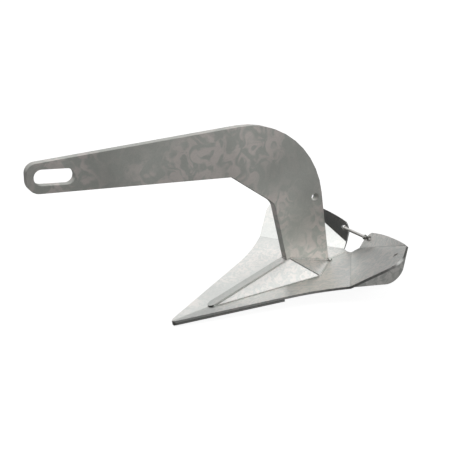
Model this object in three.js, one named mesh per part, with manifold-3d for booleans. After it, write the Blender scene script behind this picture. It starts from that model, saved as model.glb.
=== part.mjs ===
// Galvanised plough anchor with a fixed gooseneck shank, millimetres, +Z up.
// It stands on its toe and its two side fins. +X runs from the shackle end towards the rear of the
// blade, the XZ plane is the plane of symmetry, left is -Y and right is +Y.
// Everything is drawn with the tip of the toe at x = 0 and the ground at z = 0, and the whole group
// is then moved so that the origin is the middle of the footprint of its box.
import * as THREE from "three";
import { ConvexGeometry } from "three/addons/geometries/ConvexGeometry.js";
import { mergeVertices } from "three/addons/utils/BufferGeometryUtils.js";
import Module from "manifold-3d";

const wasm = await Module();
wasm.setup();

// ---- Driving dimensions ----
const GAP = 0.3; // air left between pieces that are welded together on the real anchor
const ARC_STEPS = 10;

// Shank: one flat plate, cut as an arm, a neck and a leg
const SHANK_T = 18;
const ARM_TOP_SLOPE = -0.123; // rise per millimetre of the arm's upper edge
const ARM_TOP_AT_TOE = 339.1; // height of the upper edge above the tip of the toe
const ARM_BOTTOM_SLOPE = -0.237;
const ARM_BOTTOM_AT_TOE = 271.2;
const ARM_END_X = [-171.5, -181.5]; // upper and lower corner of the shackle end
const ARM_END_R = [18, 20];
const THROAT_X = 165; // where the arm's lower edge turns into the 45 degree throat
const THROAT_R = 7;
const LEG_FRONT_TOP = [237.8, 158.3];
const LEG_FRONT_R = 28;
const LEG_FRONT_FOOT_X = 243.3;
const LEG_REAR_SLOPE = 0.0568; // sideways run per millimetre of height of the rear edge
const LEG_REAR_FOOT_X = 330;
const NECK_R = 160;
const SLOT = { x: -132.9, z: 328.7, length: 66, width: 26, tilt: -14.4 };
const TRIP_EYE = { x: 322.2, z: 141.6, radius: 7.5 };

// Blade: two pressed plates that meet in a valley, each with a flap and an ear bent up behind
const TIP_TOP = 9.5; // height of the blade's upper face at the tip
const WING_T = 4.5;
const BLADE_FALL = -0.009; // slope of the valley towards the rear
const WING_RISE = 0.13; // dihedral: rise per millimetre away from the valley
const SEAM_Y = 0.2; // half of the seam between the left and right plates
const TIP_WIDTH = 4.5; // half width of the blunt tip
const EDGE_SPREAD = 0.497; // half width gained per millimetre along the straight leading edge
const EDGE_END_X = 195;
const FLARE = [232.8, 120.4]; // control point of the curve between the leading edge and the corner
const CORNER = [275.7, 162]; // outer end of the bend between the wing and the flap
const VALLEY_END = [380.6, 12.1]; // inner end of the same bend
const FLAP_HEIGHT = { x: 337.2, y: 213.2, z: 64.5 }; // a point of the flap's upper face
const FLAP_TIP = [341.4, 225.2]; // flap's outer corner before rounding
const FLAP_TIP_R = 27;
const EAR_BEND_OUTER = [390.6, 177.7];
const EAR_BEND_INNER = [393.9, 22.1];
const EAR_SHOULDER = [[404.5, 26.8], [410.6, 33]]; // start and control point of the ear's inner corner
const EAR_TOP = { x: 412.2, y: 44, z: 47.2 };
const EAR_CREST = [407.6, 105]; // control point of the ear's curved upper edge
const EAR_HOLE = { x: 405.4, y: 43.8, radius: 4 };
const FLAP_HOLE = { x: 364.5, y: 178.8, radius: 4.5 };

// Toe: a second plate under the front of the blade, and the ballast box on top of it
const TOE_PLATE_T = 4;
const TOE_PLATE_END_X = 181;
const RIB_START_X = 73;
const RIB_START_H = 1.4; // height of the rib's nose above the valley
const RIB_END_Z = 43.8;
const RIB_END_X = 241.6;
const CHEEK_T = 4; // plate of the ballast box
const CHEEK_NOSE = [80, 9.3];
const CHEEK_PEAK = { x: 249, z: 43 };
const CHEEK_CORNER = [276, 65];
const HEEL_X = 331.5; // rear end of the box, beside the heel of the shank

// Side fins below the flaps, drawn in side view: each corner is [x, z, radius]
const FIN_T = 4.5;
const FIN_SPREAD = 0.039; // outward run of the fin's outer face per millimetre towards the rear
const FIN_LEAN = 0.27; // outward run of the same face per millimetre of height
const FIN_OUTLINE = [
  [277.5, 25, 0],
  [383.4, -10, 28],
  [398.5, 85, 0],
  [330, 85, 0],
];

// Round stay bar between the front faces of the two ears, beside their holes
const BAR = { x: 402, z: 38.8, radius: 3, halfLength: 36.5 };
const BAR_WELD_R = 5;

// Weld beads
const BEAD = 6;
const FIN_WELD_SPAN = [12, 104]; // both ends of the fin's weld, measured along it from the blade's corner

// ---- Materials ----
const galvanised = new THREE.MeshStandardMaterial({ color: 0x9b9d97, roughness: 0.5, metalness: 0.85 });
const galvanisedBright = new THREE.MeshStandardMaterial({ color: 0xc9cccb, roughness: 0.42, metalness: 0.85 });
const galvanisedWeld = new THREE.MeshStandardMaterial({ color: 0xb4b6b3, roughness: 0.6, metalness: 0.8 });
const barSteel = new THREE.MeshStandardMaterial({ color: 0xb9bab8, roughness: 0.35, metalness: 0.9 });
const lead = new THREE.MeshStandardMaterial({ color: 0x5d6066, roughness: 0.7, metalness: 0.6 });

// ---- Geometry helpers ----
const radians = THREE.MathUtils.degToRad;
const vec = (x, y, z) => new THREE.Vector3(x, y, z);

function toSolid(geometry) {
  const bare = geometry.clone();
  bare.deleteAttribute("normal");
  bare.deleteAttribute("uv");
  const merged = mergeVertices(bare, 1e-4);
  return new wasm.Manifold(
    new wasm.Mesh({
      numProp: 3,
      vertProperties: new Float32Array(merged.attributes.position.array),
      triVerts: new Uint32Array(merged.index.array),
    }),
  );
}

function toGeometry(solid) {
  const mesh = solid.getMesh();
  const geometry = new THREE.BufferGeometry();
  geometry.setAttribute("position", new THREE.BufferAttribute(mesh.vertProperties, 3));
  geometry.setIndex(new THREE.BufferAttribute(mesh.triVerts, 1));
  return flatShaded(geometry);
}

function flatShaded(geometry) {
  const flat = geometry.index ? geometry.toNonIndexed() : geometry;
  flat.computeVertexNormals();
  return flat;
}

// The same piece on the other side of the plane of symmetry, with its faces turned out again.
function mirrored(geometry) {
  const other = geometry.index ? geometry.toNonIndexed() : geometry.clone();
  other.scale(1, -1, 1);
  const position = other.attributes.position;
  for (let i = 0; i < position.count; i += 3) {
    const second = vec().fromBufferAttribute(position, i + 1);
    const third = vec().fromBufferAttribute(position, i + 2);
    position.setXYZ(i + 1, ...third);
    position.setXYZ(i + 2, ...second);
  }
  return flatShaded(other);
}

// A closed outline through corners [x, y, radius], as a list of Vector2.
function roundedOutline(corners) {
  const outline = [];
  corners.forEach(([x, y, radius], i) => {
    const corner = new THREE.Vector2(x, y);
    if (!radius) {
      outline.push(corner);
      return;
    }
    const before = corners[(i + corners.length - 1) % corners.length];
    const after = corners[(i + 1) % corners.length];
    const toBefore = new THREE.Vector2(before[0] - x, before[1] - y).normalize();
    const toAfter = new THREE.Vector2(after[0] - x, after[1] - y).normalize();
    const half = Math.acos(toBefore.dot(toAfter)) / 2;
    const inward = toBefore.clone().add(toAfter).normalize();
    const centre = corner.clone().addScaledVector(inward, radius / Math.sin(half));
    const reach = radius / Math.tan(half);
    const start = corner.clone().addScaledVector(toBefore, reach).sub(centre);
    const end = corner.clone().addScaledVector(toAfter, reach).sub(centre);
    const sweep = Math.atan2(start.cross(end), start.dot(end));
    const steps = Math.max(2, Math.ceil((Math.abs(sweep) * ARC_STEPS) / (Math.PI / 2)));
    for (let k = 0; k <= steps; k++) {
      outline.push(start.clone().rotateAround(new THREE.Vector2(), (sweep * k) / steps).add(centre));
    }
  });
  return outline;
}

// A plate in the XZ plane, its thickness centred on y = 0.
function uprightPlate(outline, thickness, holes = []) {
  const shape = new THREE.Shape(outline);
  shape.holes = holes.map((hole) => new THREE.Path(hole));
  const geometry = new THREE.ExtrudeGeometry(shape, { depth: thickness, bevelEnabled: false });
  return geometry.rotateX(Math.PI / 2).translate(0, thickness / 2, 0);
}

function planeThrough(a, b, c, inside) {
  const plane = new THREE.Plane().setFromCoplanarPoints(a, b, c);
  return plane.distanceToPoint(inside) > 0 ? plane.negate() : plane;
}

// The same plane, moved along its normal.
const shifted = (plane, distance) => new THREE.Plane(plane.normal.clone(), plane.constant - distance);
const reversed = (plane) => plane.clone().negate();

// The corner where three planes meet, or null where two of them are parallel.
function meetingPoint(a, b, c) {
  const cross = b.normal.clone().cross(c.normal);
  const determinant = a.normal.dot(cross);
  if (Math.abs(determinant) < 1e-9) return null;
  return cross
    .multiplyScalar(-a.constant)
    .addScaledVector(c.normal.clone().cross(a.normal), -b.constant)
    .addScaledVector(a.normal.clone().cross(b.normal), -c.constant)
    .divideScalar(determinant);
}

// The convex solid on the inner side of every plane.
function cell(planes) {
  const corners = [];
  for (let i = 0; i < planes.length; i++) {
    for (let j = i + 1; j < planes.length; j++) {
      for (let k = j + 1; k < planes.length; k++) {
        const point = meetingPoint(planes[i], planes[j], planes[k]);
        if (!point || planes.some((plane) => plane.distanceToPoint(point) > 1e-6)) continue;
        if (!corners.some((corner) => corner.distanceTo(point) < 1e-4)) corners.push(point);
      }
    }
  }
  return new ConvexGeometry(corners);
}

// A pressed plate: flat facets that share bend lines, each facet a counter-clockwise loop of indices
// into the upper face's points. The lower face is offset so that every facet keeps the thickness.
function bentPlate(points, facets, thickness) {
  const normals = facets.map((loop) => {
    const normal = vec();
    loop.forEach((index, i) => {
      normal.add(points[index].clone().cross(points[loop[(i + 1) % loop.length]]));
    });
    return normal.normalize();
  });
  const lower = points.map((point, index) => {
    const touching = normals.filter((normal, facet) => facets[facet].includes(index));
    const sum = touching.reduce((total, normal) => total.add(normal), vec(0, 0, 0));
    return point.clone().addScaledVector(sum, -thickness / sum.dot(touching[0]));
  });
  const triangles = [];
  const edges = new Set();
  facets.forEach((loop) => {
    const flat = loop.map((index) => new THREE.Vector2(points[index].x, points[index].y));
    THREE.ShapeUtils.triangulateShape(flat, []).forEach(([a, b, c]) => {
      triangles.push(points[loop[a]], points[loop[b]], points[loop[c]]);
      triangles.push(lower[loop[a]], lower[loop[c]], lower[loop[b]]);
    });
    loop.forEach((index, i) => edges.add(`${index},${loop[(i + 1) % loop.length]}`));
  });
  edges.forEach((edge) => {
    const [from, to] = edge.split(",").map(Number);
    if (edges.has(`${to},${from}`)) return;
    triangles.push(points[from], lower[from], points[to]);
    triangles.push(points[to], lower[from], lower[to]);
  });
  return new THREE.BufferGeometry().setFromPoints(triangles);
}

// ---- Planes of the right-hand half of the blade ----
const OUTSIDE_BELOW = vec(300, 60, -500); // a point under every face of the blade

const wingHeight = (x, y) => TIP_TOP + BLADE_FALL * x + WING_RISE * y;
const onWing = ([x, y]) => vec(x, y, wingHeight(x, y));
const wingTop = planeThrough(onWing([0, 0]), onWing(CORNER), onWing(VALLEY_END), OUTSIDE_BELOW);
const flapTop = planeThrough(
  onWing(CORNER),
  onWing(VALLEY_END),
  vec(FLAP_HEIGHT.x, FLAP_HEIGHT.y, FLAP_HEIGHT.z),
  OUTSIDE_BELOW,
);
const heightOn = (plane, x, y) => -(plane.constant + plane.normal.x * x + plane.normal.y * y) / plane.normal.z;
const onFlap = ([x, y]) => vec(x, y, heightOn(flapTop, x, y));
const earTop = planeThrough(
  onFlap(EAR_BEND_INNER),
  onFlap(EAR_BEND_OUTER),
  vec(EAR_TOP.x, EAR_TOP.y, EAR_TOP.z),
  OUTSIDE_BELOW,
);
const onEar = ([x, y]) => vec(x, y, heightOn(earTop, x, y));
const ribSide = new THREE.Plane(vec(0, -1, 0), SHANK_T / 2 + GAP);
const aboveWing = reversed(shifted(wingTop, GAP));

// ---- Shank ----
function makeShank() {
  const armTop = (x) => ARM_TOP_AT_TOE + ARM_TOP_SLOPE * x;
  const armBottom = (x) => ARM_BOTTOM_AT_TOE + ARM_BOTTOM_SLOPE * x;
  const footZ = wingHeight(LEG_FRONT_FOOT_X, SHANK_T / 2) + GAP;
  const neckX =
    (LEG_REAR_FOOT_X + LEG_REAR_SLOPE * (ARM_TOP_AT_TOE - footZ)) / (1 - LEG_REAR_SLOPE * ARM_TOP_SLOPE);
  const outline = roundedOutline([
    [ARM_END_X[0], armTop(ARM_END_X[0]), ARM_END_R[0]],
    [ARM_END_X[1], armBottom(ARM_END_X[1]), ARM_END_R[1]],
    [THROAT_X, armBottom(THROAT_X), THROAT_R],
    [...LEG_FRONT_TOP, LEG_FRONT_R],
    [LEG_FRONT_FOOT_X, footZ, 0],
    [LEG_REAR_FOOT_X, footZ, 0],
    [neckX, armTop(neckX), NECK_R],
  ]);
  const turn = radians(SLOT.tilt);
  const slotHalf = [SLOT.length / 2, SLOT.width / 2];
  const slot = roundedOutline(
    [[-1, -1], [1, -1], [1, 1], [-1, 1]].map(([side, end]) => [
      side * slotHalf[0],
      end * slotHalf[1],
      slotHalf[1] - 0.01,
    ]),
  );
  slot.forEach((point) => {
    point.rotateAround(new THREE.Vector2(), turn).add(new THREE.Vector2(SLOT.x, SLOT.z));
  });
  const eye = new THREE.Path().absarc(TRIP_EYE.x, TRIP_EYE.z, TRIP_EYE.radius, 0, 2 * Math.PI);
  return uprightPlate(outline, SHANK_T, [slot, eye.getPoints(2 * ARC_STEPS).slice(1)]);
}

// ---- Toe rib: the low ridge in front of the shank, with a nose that is round in plan ----
function makeToeRib() {
  const clear = GAP + WING_RISE * (SHANK_T / 2); // the flat foot clears both sides of the valley
  const foot = (x) => wingHeight(x, 0) + clear;
  const side = uprightPlate(
    [
      new THREE.Vector2(RIB_START_X, foot(RIB_START_X)),
      new THREE.Vector2(RIB_END_X, foot(RIB_END_X)),
      new THREE.Vector2(RIB_END_X, RIB_END_Z),
      new THREE.Vector2(RIB_START_X, foot(RIB_START_X) + RIB_START_H),
    ],
    SHANK_T,
  );
  const half = SHANK_T / 2;
  const plan = new THREE.Shape(
    roundedOutline([
      [RIB_START_X, -half, half - 0.01],
      [RIB_END_X + 1, -half, 0],
      [RIB_END_X + 1, half, 0],
      [RIB_START_X, half, half - 0.01],
    ]),
  );
  const planBlock = new THREE.ExtrudeGeometry(plan, { depth: RIB_END_Z + 1, bevelEnabled: false });
  return toGeometry(toSolid(side).intersect(toSolid(planBlock)));
}

// ---- Blade plates ----
// Half width of the blade along its leading edge, from the blunt tip to the corner.
function leadingEdge(endX) {
  const edge = [new THREE.Vector2(0, TIP_WIDTH / 2), new THREE.Vector2(TIP_WIDTH, 1.5 * TIP_WIDTH)];
  const straightEnd = Math.min(endX, EDGE_END_X);
  edge.push(new THREE.Vector2(straightEnd, TIP_WIDTH + EDGE_SPREAD * straightEnd));
  return edge;
}

function drill(plate, plane, hole) {
  const cutter = new THREE.CylinderGeometry(hole.radius, hole.radius, 10 * WING_T, 2 * ARC_STEPS);
  const turn = new THREE.Quaternion().setFromUnitVectors(vec(0, 1, 0), plane.normal);
  cutter.applyQuaternion(turn).translate(hole.x, hole.y, heightOn(plane, hole.x, hole.y));
  return plate.subtract(toSolid(cutter));
}

function makeWing() {
  const straight = leadingEdge(EDGE_END_X);
  const flare = new THREE.QuadraticBezierCurve(
    straight.at(-1),
    new THREE.Vector2(...FLARE),
    new THREE.Vector2(...CORNER),
  ).getPoints(ARC_STEPS);
  const flapEdge = roundedOutline([
    [...CORNER, 0],
    [...FLAP_TIP, FLAP_TIP_R],
    [...EAR_BEND_OUTER, 0],
  ]).slice(1, -1);
  const earShoulder = new THREE.QuadraticBezierCurve(
    new THREE.Vector2(...EAR_SHOULDER[0]),
    new THREE.Vector2(...EAR_SHOULDER[1]),
    new THREE.Vector2(EAR_TOP.x, EAR_TOP.y),
  ).getPoints(ARC_STEPS / 2);
  const earEdge = new THREE.QuadraticBezierCurve(
    new THREE.Vector2(EAR_TOP.x, EAR_TOP.y),
    new THREE.Vector2(...EAR_CREST),
    new THREE.Vector2(...EAR_BEND_OUTER),
  ).getPoints(ARC_STEPS).slice(1, -1);

  const points = [];
  const add = (place, list) =>
    list.map((point) => {
      points.push(place([point.x, point.y]));
      return points.length - 1;
    });
  const plain = (list) => list.map(([x, y]) => new THREE.Vector2(x, y));
  const [valleyEnd, corner] = add(onWing, plain([VALLEY_END, CORNER]));
  const [bendInner, bendOuter] = add(onFlap, plain([EAR_BEND_INNER, EAR_BEND_OUTER]));
  const seam = add(onWing, plain([[VALLEY_END[0] - 1, SEAM_Y], [0, SEAM_Y]]));
  const edge = add(onWing, [...straight, ...flare.slice(1, -1)]);
  const flapRim = add(onFlap, flapEdge);
  const earRim = add(onEar, [...earShoulder, ...earEdge]);
  const facets = [
    [...seam, ...edge, corner, valleyEnd].reverse(),
    [valleyEnd, corner, ...flapRim, bendOuter, bendInner].reverse(),
    [bendInner, bendOuter, ...earRim.toReversed()].reverse(),
  ];
  let plate = toSolid(bentPlate(points, facets, WING_T));
  plate = drill(plate, earTop, EAR_HOLE);
  plate = drill(plate, flapTop, FLAP_HOLE);
  return toGeometry(plate);
}

function makeToePlate() {
  const outline = [...leadingEdge(TOE_PLATE_END_X), new THREE.Vector2(TOE_PLATE_END_X, SEAM_Y)];
  outline.push(new THREE.Vector2(0, SEAM_Y));
  const below = shifted(wingTop, -(WING_T + GAP));
  const points = outline.map((point) => vec(point.x, point.y, heightOn(below, point.x, point.y)));
  return bentPlate(points, [[...points.keys()].reverse()], TOE_PLATE_T);
}

// ---- Ballast box: a cheek and a heel plate on each side of the rib, and the lead inside ----
const cheekPeak = vec(CHEEK_PEAK.x, SHANK_T / 2 + GAP, CHEEK_PEAK.z);
const cheekTop = planeThrough(onWing(CHEEK_NOSE), cheekPeak, onWing(CHEEK_CORNER), OUTSIDE_BELOW);
const heelEnd = [HEEL_X, SHANK_T / 2 + GAP];
const heelTop = planeThrough(cheekPeak, onWing(CHEEK_CORNER), onWing(heelEnd), OUTSIDE_BELOW);
const mitreNormal = heelTop.normal.clone().sub(cheekTop.normal).normalize();
const mitre = new THREE.Plane().setFromNormalAndCoplanarPoint(mitreNormal, cheekPeak);

const makeCheek = () =>
  cell([cheekTop, reversed(shifted(cheekTop, -CHEEK_T)), aboveWing, ribSide, shifted(mitre, -GAP / 2)]);
const makeHeelPlate = () =>
  cell([heelTop, reversed(shifted(heelTop, -CHEEK_T)), aboveWing, ribSide, reversed(shifted(mitre, GAP / 2))]);
const makeBallast = () =>
  cell([shifted(cheekTop, -CHEEK_T - GAP), shifted(heelTop, -CHEEK_T - GAP), aboveWing, ribSide]);

// ---- Side fins ----
const finRoot = onWing(CORNER);
const finAlong = vec(1, FIN_SPREAD, 0);
const finUp = vec(0, FIN_LEAN, 1);
const finOuter = new THREE.Plane().setFromNormalAndCoplanarPoint(
  finUp.clone().cross(finAlong).normalize(),
  finRoot,
);
const flapUnderside = shifted(flapTop, -(WING_T + GAP));

function makeFin() {
  const shape = new THREE.Shape(roundedOutline(FIN_OUTLINE));
  const plate = new THREE.ExtrudeGeometry(shape, { depth: FIN_T, bevelEnabled: false });
  plate.translate(-finRoot.x, -finRoot.z, 0);
  const place = new THREE.Matrix4().makeBasis(finAlong, finUp, finOuter.normal.clone().negate());
  plate.applyMatrix4(place.setPosition(finRoot));
  const trim = new THREE.BoxGeometry(800, 800, 400).translate(0, 0, 200);
  const turn = new THREE.Quaternion().setFromUnitVectors(vec(0, 0, 1), flapUnderside.normal);
  trim.applyQuaternion(turn).translate(...flapUnderside.projectPoint(finRoot, vec()));
  return toGeometry(toSolid(plate).subtract(toSolid(trim)));
}

// Fillet weld in the inner corner between the fin and the underside of the flap.
function makeFinWeld() {
  const inner = shifted(finOuter, -(FIN_T + GAP));
  const under = shifted(flapUnderside, -GAP);
  const corner = new THREE.Vector3().crossVectors(inner.normal, under.normal).normalize();
  if (corner.x < 0) corner.negate();
  const root = meetingPoint(inner, under, new THREE.Plane(corner.clone(), -corner.dot(finRoot)));
  const slant = inner.normal.clone().add(under.normal).normalize().negate();
  const face = new THREE.Plane().setFromNormalAndCoplanarPoint(slant, root);
  return cell([
    inner,
    under,
    shifted(face, BEAD * 0.7),
    new THREE.Plane(corner.clone(), -corner.dot(root) - FIN_WELD_SPAN[1]),
    new THREE.Plane(corner.clone().negate(), corner.dot(root) + FIN_WELD_SPAN[0]),
  ]);
}

// ---- Weld beads of the blade ----
// Bead across the heel of the shank, lying in the valley.
function makeHeelWeld() {
  const rear = new THREE.Plane().setFromNormalAndCoplanarPoint(
    vec(-1, 0, LEG_REAR_SLOPE).normalize(),
    vec(LEG_REAR_FOOT_X + GAP, 0, wingHeight(LEG_REAR_FOOT_X, 0)),
  );
  const half = SHANK_T / 2;
  const left = aboveWing.clone();
  left.normal.y *= -1;
  const crown = vec(1, 0, 1).normalize();
  const top = new THREE.Plane().setFromNormalAndCoplanarPoint(
    crown,
    vec(LEG_REAR_FOOT_X + BEAD + 2, 0, wingHeight(LEG_REAR_FOOT_X, 0)),
  );
  return cell([
    rear,
    aboveWing,
    left,
    top,
    new THREE.Plane(vec(0, 1, 0), -half),
    new THREE.Plane(vec(0, -1, 0), -half),
  ]);
}

// Flat bead along the valley behind the shank.
function makeValleyWeld() {
  const left = aboveWing.clone();
  left.normal.y *= -1;
  const height = wingHeight(VALLEY_END[0], 0) + 2;
  return cell([
    aboveWing,
    left,
    new THREE.Plane(vec(0, 0, 1), -height),
    new THREE.Plane(vec(-1, 0, 0), LEG_REAR_FOOT_X + 2 * BEAD),
    new THREE.Plane(vec(1, 0, 0), -(VALLEY_END[0] - 3)),
    new THREE.Plane(vec(0, 1, 0), -BEAD),
    new THREE.Plane(vec(0, -1, 0), -BEAD),
  ]);
}

// Fillet weld below the blade, behind the rear edge of the toe plate.
function makeToePlateWeld() {
  const under = shifted(wingTop, -(WING_T + GAP));
  const slope = vec(1, 0, -1.3).normalize();
  const foot = vec(TOE_PLATE_END_X + GAP, 0, heightOn(shifted(under, -TOE_PLATE_T + 1), TOE_PLATE_END_X, 0));
  return cell([
    under,
    new THREE.Plane(vec(-1, 0, 0), TOE_PLATE_END_X + GAP),
    new THREE.Plane().setFromNormalAndCoplanarPoint(slope, foot),
    new THREE.Plane(vec(0, -1, 0), BEAD),
    new THREE.Plane(vec(0, 1, 0), -(TOE_PLATE_END_X * EDGE_SPREAD - BEAD)),
    new THREE.Plane(vec(0, WING_RISE, -1).normalize(), 0),
  ]);
}

// ---- Stay bar between the ears ----
function cylinderAlongY(radius, length) {
  return new THREE.CylinderGeometry(radius, radius, length, 4 * ARC_STEPS).translate(BAR.x, 0, BAR.z);
}

const makeBar = () => cylinderAlongY(BAR.radius, 2 * BAR.halfLength);

// Bead round the end of the bar, on the face of the ear.
function makeBarWeld() {
  const ball = new THREE.SphereGeometry(BAR_WELD_R, 2 * ARC_STEPS, ARC_STEPS);
  ball.translate(BAR.x, BAR.halfLength - 3, BAR.z);
  const behind = new THREE.BoxGeometry(100, 100, 50).translate(0, 0, -25);
  const turn = new THREE.Quaternion().setFromUnitVectors(vec(0, 0, 1), earTop.normal);
  const face = shifted(earTop, GAP).projectPoint(vec(BAR.x, BAR.halfLength, BAR.z), vec());
  behind.applyQuaternion(turn).translate(...face);
  const clearance = cylinderAlongY(BAR.radius + GAP, 4 * BAR.halfLength);
  return toGeometry(toSolid(ball).subtract(toSolid(behind)).subtract(toSolid(clearance)));
}

// ---- Assembly ----
const anchor = new THREE.Group();
const blade = new THREE.Group();
anchor.add(blade);

function addPiece(parent, name, geometry, material) {
  const mesh = new THREE.Mesh(geometry, material);
  mesh.name = name;
  parent.add(mesh);
  return mesh;
}

function addPair(name, geometry, material) {
  addPiece(blade, `${name}_right`, geometry, material);
  addPiece(blade, `${name}_left`, mirrored(geometry), material);
}

addPiece(anchor, "shank", makeShank(), galvanised);
addPiece(blade, "toe_rib", makeToeRib(), galvanised);
addPair("wing", makeWing(), galvanisedBright);
addPair("toe_plate", makeToePlate(), galvanised);
addPair("cheek_plate", makeCheek(), galvanisedBright);
addPair("heel_plate", makeHeelPlate(), galvanised);
addPair("ballast", makeBallast(), lead);
addPair("fin", makeFin(), galvanised);
addPair("fin_weld", makeFinWeld(), galvanisedWeld);
addPair("toe_plate_weld", makeToePlateWeld(), galvanisedWeld);
addPiece(blade, "heel_weld", makeHeelWeld(), galvanisedWeld);
addPiece(blade, "valley_weld", makeValleyWeld(), galvanisedWeld);

addPiece(blade, "ear_bar", makeBar(), barSteel);
addPair("ear_bar_weld", makeBarWeld(), galvanisedWeld);

const box = new THREE.Box3().setFromObject(anchor, true);
anchor.position.set(-(box.min.x + box.max.x) / 2, 0, -box.min.z);

export default anchor;
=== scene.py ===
# Look of the galvanised plough anchor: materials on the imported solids, rippled weld beads in place of
# the plain CAD ones, thin seam beads where the plates meet, and a white studio.
import math

import bpy
from mathutils import Matrix, Vector, noise


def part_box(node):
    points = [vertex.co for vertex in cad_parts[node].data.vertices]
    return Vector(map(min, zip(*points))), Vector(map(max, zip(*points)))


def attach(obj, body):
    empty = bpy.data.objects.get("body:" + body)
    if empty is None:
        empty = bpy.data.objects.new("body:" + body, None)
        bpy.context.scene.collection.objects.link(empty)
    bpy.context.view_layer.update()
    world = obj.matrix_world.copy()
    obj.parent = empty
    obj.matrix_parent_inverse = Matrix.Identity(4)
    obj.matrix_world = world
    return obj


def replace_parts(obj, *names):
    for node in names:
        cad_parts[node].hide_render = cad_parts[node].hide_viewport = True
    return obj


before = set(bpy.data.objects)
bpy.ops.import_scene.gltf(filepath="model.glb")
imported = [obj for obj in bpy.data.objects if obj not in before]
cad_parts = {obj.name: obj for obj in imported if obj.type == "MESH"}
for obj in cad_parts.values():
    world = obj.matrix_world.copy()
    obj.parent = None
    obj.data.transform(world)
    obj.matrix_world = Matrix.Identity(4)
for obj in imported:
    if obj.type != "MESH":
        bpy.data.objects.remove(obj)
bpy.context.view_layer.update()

# ---- Places in the anchor's own drawing, millimetres from the tip of the toe ----
TIP_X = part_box("wing_left")[0][0]
GROUND = 1.067  # how far the lowest point lies below the drawing's zero


def place(x, y, z):
    """A point of the drawing in the row frame, in metres."""
    return Vector((TIP_X + x / 1000, y / 1000, (z + GROUND) / 1000))


TIP_TOP, BLADE_FALL, WING_RISE = 9.5, -0.009, 0.13  # the blade's upper face: height at the tip, and slopes


def wing_height(x, y):
    return TIP_TOP + BLADE_FALL * x + WING_RISE * abs(y)


def on_wing(x, y, lift=0.3):
    return place(x, y, wing_height(x, y) + lift)


# ---- Material nodes ----
class Nodes:
    """A node tree with short calls: n.add(type, settings, inputs) gives the node."""

    def __init__(self, tree):
        self.tree = tree
        self.tree.nodes.clear()

    def add(self, kind, settings=None, **inputs):
        """Inputs are named by socket, with _ for a space, or by number, as in _0."""
        node = self.tree.nodes.new(kind)
        for key, value in (settings or {}).items():
            setattr(node, key, value)
        for key, value in inputs.items():
            self.put(node.inputs[int(key[1:]) if key[1:].isdigit() else key.replace("_", " ")], value)
        return node

    def put(self, socket, value):
        if isinstance(value, bpy.types.NodeSocket):
            self.tree.links.new(value, socket)
        elif isinstance(value, bpy.types.Node):
            self.tree.links.new(value.outputs[0], socket)
        else:
            socket.default_value = value

    def math(self, operation, *values, clamp=False):
        node = self.tree.nodes.new("ShaderNodeMath")
        node.operation = operation
        node.use_clamp = clamp
        for i, value in enumerate(values):
            self.put(node.inputs[i], value)
        return node.outputs[0]

    def remap(self, value, low, high, to_low=0.0, to_high=1.0, smooth=True):
        node = self.tree.nodes.new("ShaderNodeMapRange")
        node.interpolation_type = "SMOOTHSTEP" if smooth else "LINEAR"
        self.put(node.inputs[0], value)
        for i, number in enumerate((low, high, to_low, to_high)):
            node.inputs[i + 1].default_value = number
        return node.outputs[0]

    def mix(self, factor, a, b, blend="MIX"):
        node = self.tree.nodes.new("ShaderNodeMix")
        node.data_type = "RGBA"
        node.blend_type = blend
        self.put(node.inputs[0], factor)
        self.put(node.inputs[6], a)
        self.put(node.inputs[7], b)
        return node.outputs[2]

    def noise(self, vector, scale, detail=2.0, roughness=0.5, distortion=0.0):
        node = self.add("ShaderNodeTexNoise", Vector=vector, Scale=scale, Detail=detail)
        node.inputs["Roughness"].default_value = roughness
        node.inputs["Distortion"].default_value = distortion
        return node.outputs[0]


def rgb(red, green, blue):
    """A colour given as 0 to 255 display values."""
    linear = [((c / 255 + 0.055) / 1.055) ** 2.4 if c > 10 else c / 3295 for c in (red, green, blue)]
    return (*linear, 1.0)


# The bend lines of a blade plate in plan, from one end to the other, in the drawing.
FOLDS = (((275.7, 162.0), (380.6, 12.1)), ((390.6, 177.7), (393.9, 22.1)))


def painted_fold_shade(n, where):
    """Painted shade: the colour darkened to 0.8 within 1.4 mm of each bend, standing in for the shade in the
    creases.
    """
    split = n.add("ShaderNodeSeparateXYZ", Vector=where)
    x, y = split.outputs[0], n.math("ABSOLUTE", split.outputs[1])
    shade = 1.0
    for start, end in FOLDS:
        start, end = place(*start, 0).xy, place(*end, 0).xy
        across = (end - start).normalized().orthogonal()
        off = n.math("MULTIPLY_ADD", y, across.y, -across.dot(start))
        off = n.math("MULTIPLY_ADD", x, across.x, off)
        shade = n.math("MULTIPLY", shade, n.remap(n.math("ABSOLUTE", off), 0.0002, 0.0014, 0.80, 1.0))
    return shade


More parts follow.
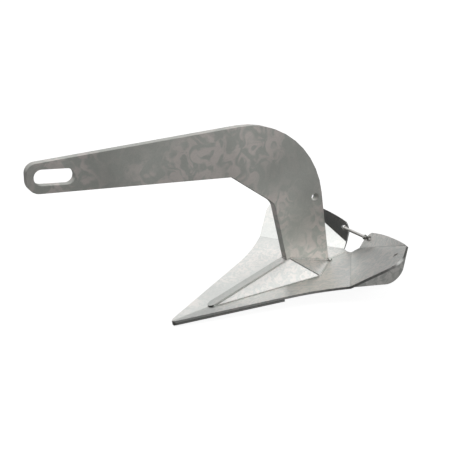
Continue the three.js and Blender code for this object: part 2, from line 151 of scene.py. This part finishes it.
def galvanised(
    name, cool, warm, patch=26.0, contrast=1.0, spangle=0.10, roughness=0.42, bump=0.25,
    edge=(0.46, 0.56), paint_fold_shade=False,
):
    """Hot-dip zinc: soft cool and warm patches, fine crystal spangle, runs and a slight orange peel, with
    painted shade darkening the colour in crevices and, where asked, along the bends.
    """
    material = bpy.data.materials.new(name)
    material.use_nodes = True
    n = Nodes(material.node_tree)
    where = n.add("ShaderNodeTexCoord").outputs["Object"]
    drift = n.add("ShaderNodeTexNoise", Vector=where, Scale=14.0, Detail=2.0).outputs["Color"]
    reach = (0.03, 0.03, 0.03)
    wander = n.add("ShaderNodeVectorMath", {"operation": "MULTIPLY_ADD"}, _0=drift, _1=reach, _2=where)

    patches = n.remap(n.noise(wander, patch, 1.5, 0.5, 1.4), *edge)
    patches = n.math("MULTIPLY", patches, n.remap(n.noise(where, 8.0, 1.0), 0.36, 0.56, 0.15, 1.0))
    clouds = n.remap(n.noise(where, 7.0, 3.0), 0.3, 0.7)
    crystals = n.remap(n.noise(where, 130.0, 0.5, 0.4, 2.6), 0.40, 0.60)
    grain = n.noise(where, 900.0, 2.0)

    colour = n.mix(patches, cool, warm)
    shade = n.math("MULTIPLY_ADD", clouds, 0.16 * contrast, 1.0 - 0.10 * contrast)
    shade = n.math("MULTIPLY", shade, n.remap(crystals, 0.0, 1.0, 1.0 - spangle, 1.0 + spangle, False))
    shade = n.math("MULTIPLY", shade, n.remap(grain, 0.3, 0.7, 0.97, 1.03))
    # Painted shade: the colour is darkened by ambient occlusion in crevices, corners and near seams.
    painted_crevice_shade = n.add("ShaderNodeAmbientOcclusion", {"samples": 6}, Distance=0.012)
    shade = n.math("MULTIPLY", shade, n.remap(painted_crevice_shade.outputs["AO"], 0.1, 0.75, 0.55, 1.0))
    # Painted shade along the bends of the blade plates.
    if paint_fold_shade:
        shade = n.math("MULTIPLY", shade, painted_fold_shade(n, where))
    grey = n.add("ShaderNodeCombineColor", _0=shade, _1=shade, _2=shade)
    colour = n.mix(1.0, colour, grey, "MULTIPLY")

    rough = n.math("MULTIPLY_ADD", clouds, 0.03, roughness)
    peel = n.noise(where, 120.0, 2.0, 0.45)
    runs = n.noise(wander, 35.0, 2.0)
    height = n.math("ADD", n.math("MULTIPLY", peel, 0.5), n.math("MULTIPLY", runs, 1.2))
    height = n.math("ADD", height, n.math("MULTIPLY", grain, 0.03))
    relief = n.add("ShaderNodeBump", Strength=bump, Distance=0.0007, Height=height)

    shader = n.add("ShaderNodeBsdfPrincipled", Base_Color=colour, Roughness=rough, Normal=relief)
    shader.inputs["Metallic"].default_value = 0.96
    n.add("ShaderNodeOutputMaterial", Surface=shader)
    return material


def lead():
    material = bpy.data.materials.new("lead")
    material.use_nodes = True
    n = Nodes(material.node_tree)
    where = n.add("ShaderNodeTexCoord").outputs["Object"]
    oxide = n.remap(n.noise(where, 60.0, 4.0, 0.6, 0.8), 0.4, 0.6)
    colour = n.mix(oxide, rgb(92, 96, 103), rgb(132, 135, 138))
    relief = n.add("ShaderNodeBump", Strength=0.4, Distance=0.002, Height=n.noise(where, 90.0, 4.0))
    shader = n.add("ShaderNodeBsdfPrincipled", Base_Color=colour, Normal=relief)
    shader.inputs["Metallic"].default_value = 0.6
    n.put(shader.inputs["Roughness"], n.remap(oxide, 0.0, 1.0, 0.55, 0.75))
    n.add("ShaderNodeOutputMaterial", Surface=shader)
    return material


SHANK = galvanised("shank_zinc", rgb(202, 204, 198), rgb(229, 223, 218), patch=42.0, contrast=1.4, spangle=0.02,
                   roughness=0.36, bump=0.15, edge=(0.40, 0.60))
PLATE = galvanised("plate_zinc", rgb(206, 209, 205), rgb(218, 215, 212), patch=60.0, contrast=1.1, spangle=0.03,
                   roughness=0.36, bump=0.15)
# The fin's zinc is a darker copy of the plate zinc: painted shade for the fin under the flap; its stronger
# mottling is the zinc's own tone.
SHADED_FIN = galvanised("fin_zinc_painted_shade", rgb(182, 184, 180), rgb(216, 214, 210), patch=60.0, contrast=1.3, spangle=0.04,
                 roughness=0.38, bump=0.15, edge=(0.38, 0.62))
BLADE = galvanised("blade_zinc", rgb(223, 225, 222), rgb(240, 237, 233), patch=85.0, contrast=0.9, spangle=0.02,
                   roughness=0.30, bump=0.12, edge=(0.40, 0.62), paint_fold_shade=True)
BAR = galvanised("bar_zinc", rgb(224, 226, 222), rgb(232, 228, 224), patch=60.0, spangle=0.05, roughness=0.3)
WELD = galvanised("weld_zinc", rgb(214, 218, 212), rgb(226, 222, 218), patch=90.0, spangle=0.06, bump=0.3)
LEAD = lead()

NODE_MATERIALS = {
    "shank": SHANK, "toe_rib": PLATE, "toe_plate": PLATE, "fin": SHADED_FIN, "wing": BLADE,
    "cheek_plate": BLADE, "heel_plate": BLADE, "ballast": LEAD, "ear_bar": BAR,
}


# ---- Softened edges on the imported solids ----
def edge_smoothing():
    """Geometry nodes that shade smooth, except over edges sharper than 19 degrees."""
    group = bpy.data.node_groups.new("smooth_by_angle", "GeometryNodeTree")
    group.interface.new_socket("Geometry", in_out="INPUT", socket_type="NodeSocketGeometry")
    group.interface.new_socket("Geometry", in_out="OUTPUT", socket_type="NodeSocketGeometry")
    n = Nodes(group)
    source = n.add("NodeGroupInput")
    faces = n.add("GeometryNodeSetShadeSmooth", {"domain": "FACE"}, _0=source, _2=True)
    angle = n.add("GeometryNodeInputMeshEdgeAngle").outputs[0]
    sharp = n.add("FunctionNodeCompare", {"operation": "GREATER_THAN"}, _0=angle, _1=math.radians(19))
    edges = n.add("GeometryNodeSetShadeSmooth", {"domain": "EDGE"}, _0=faces, _1=sharp, _2=False)
    n.add("NodeGroupOutput", _0=edges)
    return group


SMOOTHING = edge_smoothing()
BEVEL_ANGLE = math.radians(45)


def soften(obj, width):
    weld = obj.modifiers.new("weld", "WELD")
    weld.merge_threshold = 2e-6
    bevel = obj.modifiers.new("bevel", "BEVEL")
    bevel.width = width / 1000
    bevel.segments = 4
    bevel.limit_method = "ANGLE"
    bevel.angle_limit = BEVEL_ANGLE
    obj.modifiers.new("smooth", "NODES").node_group = SMOOTHING
    flatten = obj.modifiers.new("flat_faces", "WEIGHTED_NORMAL")
    flatten.keep_sharp = True


# Bevel widths in millimetres.
BEVELS = {"shank": 1.5, "toe_rib": 1.2, "wing": 1.3, "toe_plate": 0.7, "fin": 1.0, "ear_bar": 0.8}
for name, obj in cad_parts.items():
    family = name.removesuffix("_left").removesuffix("_right")
    if family in NODE_MATERIALS:
        obj.data.materials.clear()
        obj.data.materials.append(NODE_MATERIALS[family])
    if family in BEVELS:
        soften(obj, BEVELS[family])


# ---- Weld beads ----
def resampled(points, step):
    """The polyline's points at even steps, with the distance to each."""
    result, travelled = [], 0.0
    for a, b in zip(points, points[1:]):
        length = (b - a).length
        count = max(1, round(length / step))
        for i in range(count):
            result.append((a.lerp(b, i / count), travelled + length * i / count))
        travelled += length
    result.append((points[-1], travelled))
    return result, travelled


def bead(name, points, radius, up=Vector((0, 0, 1)), pitch=2.2, flat=0.75, body="root"):
    """A laid weld bead: an oval rope with crescent ripples, a wavering width and tapered ends."""
    radius, pitch = radius / 1000, pitch / 1000
    samples, total = resampled(points, radius * 0.3)
    sides = 12
    verts, faces = [], []
    last = len(samples) - 1
    for i, (point, s) in enumerate(samples):
        ahead = samples[min(i + 1, last)][0] - samples[max(i - 1, 0)][0]
        ahead.normalize()
        side = ahead.cross(up).normalized()
        top = side.cross(ahead).normalized()
        end = min(s, total - s) / (1.4 * radius)
        taper = math.sqrt(max(0.02, 1 - (1 - min(end, 1)) ** 2))
        waver = 1 + 0.14 * noise.noise(point * 700) + 0.08 * noise.noise(point * 230)
        for k in range(sides):
            angle = 2 * math.pi * k / sides
            lag = 0.5 * math.cos(angle) ** 2
            ripple = 1 + 0.10 * (1 - abs(2 * ((s / pitch + lag) % 1) - 1))
            size = radius * taper * waver * ripple
            verts.append(point + side * (size * math.cos(angle)) + top * (size * flat * math.sin(angle)))
    for i in range(last):
        for k in range(sides):
            a, b = i * sides + k, i * sides + (k + 1) % sides
            faces.append((a, b, b + sides, a + sides))
    faces.append(tuple(reversed(range(sides))))
    faces.append(tuple(range(last * sides, last * sides + sides)))
    mesh = bpy.data.meshes.new(name)
    mesh.from_pydata(verts, [], faces)
    mesh.shade_smooth()
    mesh.materials.append(WELD)
    obj = bpy.data.objects.new(name, mesh)
    bpy.context.scene.collection.objects.link(obj)
    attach(obj, body)
    return obj


def arc(centre, radius, start, end, count, across, along):
    """Points of an arc in the plane of two unit vectors, in the row frame."""
    angles = [math.radians(start + (end - start) * i / count) for i in range(count + 1)]
    return [centre + across * (radius * math.cos(a)) + along * (radius * math.sin(a)) for a in angles]


# The ballast box's corners in plan, the height of its peak, and one end of the bar between the ears.
PEAK, CORNER, NOSE, HEEL = (249, 9.3), (276, 65), (78, 9.3), (331.5, 9.3)
PEAK_Z = 43.2
BAR_END = (402, 33.5, 38.8)
BROW = (241.8, 8.5, 44.4)
FACING, RISING = Vector((0.6, 0, -0.8)), Vector((0.8, 0, 0.6))  # the plane of the bead round the bar
for side, sign in (("left", -1), ("right", 1)):
    peak = place(PEAK[0], sign * PEAK[1], PEAK_Z)
    corner = on_wing(CORNER[0], sign * CORNER[1])
    nose = on_wing(NOSE[0], sign * NOSE[1])
    heel = on_wing(HEEL[0], sign * HEEL[1])
    bead(f"cheek_seam_{side}", [nose, corner], 1.3)
    bead(f"rib_seam_{side}", [nose, peak], 1.0)
    bead(f"ridge_seam_{side}", [peak, corner], 1.3)
    bead(f"heel_seam_{side}", [corner, heel], 1.4)
    bead(f"shank_seam_{side}", [peak, heel], 2.2)
    bar_end = place(BAR_END[0], sign * BAR_END[1], BAR_END[2])
    turn = arc(bar_end, 0.0037, -150, 150, 24, FACING, RISING)
    ring = bead(f"bar_bead_{side}", turn, 1.4, up=Vector((0, 1, 0)), pitch=1.8)
    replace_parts(ring, f"ear_bar_weld_{side}")

    low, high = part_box(f"fin_weld_{side}")
    inner = high[1] if sign < 0 else low[1]
    outer = low[1] if sign < 0 else high[1]
    start = Vector((low[0], inner + sign * 0.0045, low[2] + 0.003))
    finish = Vector((high[0], outer - sign * 0.0025, high[2] - 0.002))
    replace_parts(bead(f"fin_bead_{side}", [start, finish], 3.2), f"fin_weld_{side}")

    low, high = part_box(f"toe_plate_weld_{side}")
    start = Vector((low[0] + 0.001, sign * 0.007, low[2] + 0.0036))
    finish = Vector((low[0] + 0.001, sign * 0.083, high[2] - 0.0028))
    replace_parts(bead(f"toe_plate_bead_{side}", [start, finish], 2.4), f"toe_plate_weld_{side}")

heel_line = [
    on_wing(328, -14, 0.8),
    on_wing(333, -9, 1.6),
    on_wing(333, 9, 1.6),
    on_wing(328, 14, 0.8),
]
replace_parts(bead("heel_bead", heel_line, 4.2, pitch=3.0), "heel_weld")
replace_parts(bead("valley_bead", [on_wing(338, 0), on_wing(379, 0)], 3.0, flat=0.35, pitch=3.0), "valley_weld")
bead("toe_seam", [on_wing(2, 0, 0), on_wing(73, 0, 0)], 0.9, flat=0.5)
bead("brow_seam", [place(BROW[0], -BROW[1], BROW[2]), place(*BROW)], 1.6)


# ---- Studio: floor, surroundings, light and camera ----
def make_floor():
    mesh = bpy.data.meshes.new("floor")
    reach = 40
    corners = [(-reach, -reach, 0), (reach, -reach, 0), (reach, reach, 0), (-reach, reach, 0)]
    mesh.from_pydata(corners, [], [(0, 1, 2, 3)])
    floor = bpy.data.objects.new("floor", mesh)
    floor.location.z = -0.0008
    bpy.context.scene.collection.objects.link(floor)
    material = bpy.data.materials.new("white_floor")
    material.use_nodes = True
    n = Nodes(material.node_tree)
    paint = n.add("ShaderNodeBsdfDiffuse", Color=(0.3, 0.3, 0.3, 1))
    glow = n.add("ShaderNodeEmission", Strength=0.92)
    n.add("ShaderNodeOutputMaterial", Surface=n.add("ShaderNodeAddShader", _0=paint, _1=glow))
    mesh.materials.append(material)
    floor.visible_glossy = False
    floor.visible_diffuse = False


def make_surroundings():
    """White to look at, and a studio of soft panels to light and reflect, fixed in the room."""
    world = bpy.data.worlds.new("studio")
    bpy.context.scene.world = world
    world.use_nodes = True
    n = Nodes(world.node_tree)
    direction = n.add("ShaderNodeTexCoord").outputs["Generated"]

    def panel(axis, low, high, strength):
        towards = Vector(axis).normalized()
        facing = n.add("ShaderNodeVectorMath", {"operation": "DOT_PRODUCT"}, _0=direction, _1=towards)
        return n.remap(facing.outputs["Value"], low, high, 0.0, strength)

    # The panel behind has a soft lower edge, slanted a little like a tilted softbox.
    behind = panel((-0.10, 0.96, 0.20), 0.72, 0.95, 0.60)
    split = n.add("ShaderNodeSeparateXYZ", Vector=direction)
    level = n.math("MULTIPLY_ADD", split.outputs[0], -0.12, split.outputs[2])
    total = n.math("MAXIMUM", 0.02, n.math("MULTIPLY", behind, n.remap(level, 0.06, 0.14)))
    for axis, low, high, strength in (
        ((0.45, 0.25, 0.86), 0.58, 0.82, 0.90),
        ((0.68, 0.66, 0.32), 0.90, 0.96, 0.60),
        ((0.66, -0.70, 0.28), 0.45, 1.0, 0.58),
        ((0.57, -0.36, -0.74), 0.75, 0.96, 0.42),
        ((0.37, -0.80, 0.48), 0.91, 0.98, 1.5),
        ((-0.47, -0.79, -0.37), 0.88, 0.99, 0.24),
        ((-0.33, 0.86, -0.39), 0.86, 0.99, 0.30),
    ):
        total = n.math("MAXIMUM", total, panel(axis, low, high, strength))
    lit = n.add("ShaderNodeBackground", Strength=total)
    white = n.add("ShaderNodeBackground", Strength=1.0)
    seen = n.add("ShaderNodeLightPath").outputs["Is Camera Ray"]
    for node in (lit, white):
        node.inputs[0].default_value = (1, 1, 1, 1)
    n.add("ShaderNodeOutputWorld", Surface=n.add("ShaderNodeMixShader", _0=seen, _1=lit, _2=white))


def make_light(name, location, target, size, power):
    light = bpy.data.lights.new(name, "AREA")
    light.shape = "RECTANGLE"
    light.size, light.size_y = size
    light.energy = power
    obj = bpy.data.objects.new(name, light)
    obj.location = location
    obj.rotation_euler = (Vector(target) - Vector(location)).to_track_quat("-Z", "Y").to_euler()
    obj.visible_camera = False
    bpy.context.scene.collection.objects.link(obj)


def make_camera():
    data = bpy.data.cameras.new("camera")
    data.sensor_width = 36.0
    data.lens = 800 / 455 * 36
    data.clip_end = 200
    camera = bpy.data.objects.new("camera", data)
    stand, aim = place(-372.6, -1223.2, 668.1), place(131.3, -23.3, 152.2)
    roll = math.radians(-11.54)
    turn = (aim - stand).to_track_quat("-Z", "Y").to_matrix() @ Matrix.Rotation(roll, 3, "Z")
    camera.matrix_world = Matrix.Translation(stand) @ turn.to_4x4()
    bpy.context.scene.collection.objects.link(camera)
    bpy.context.scene.camera = camera


make_floor()
make_surroundings()
make_light("overhead", (0.25, 0.35, 1.9), (0.1, 0, 0.1), (1.3, 1.3), 3.2)
make_light("back_strip", (0.33, 1.0, 0.55), (0.0, 0, 0.35), (0.8, 0.2), 0.25)
make_camera()
bpy.context.scene.view_settings.view_transform = "Standard"
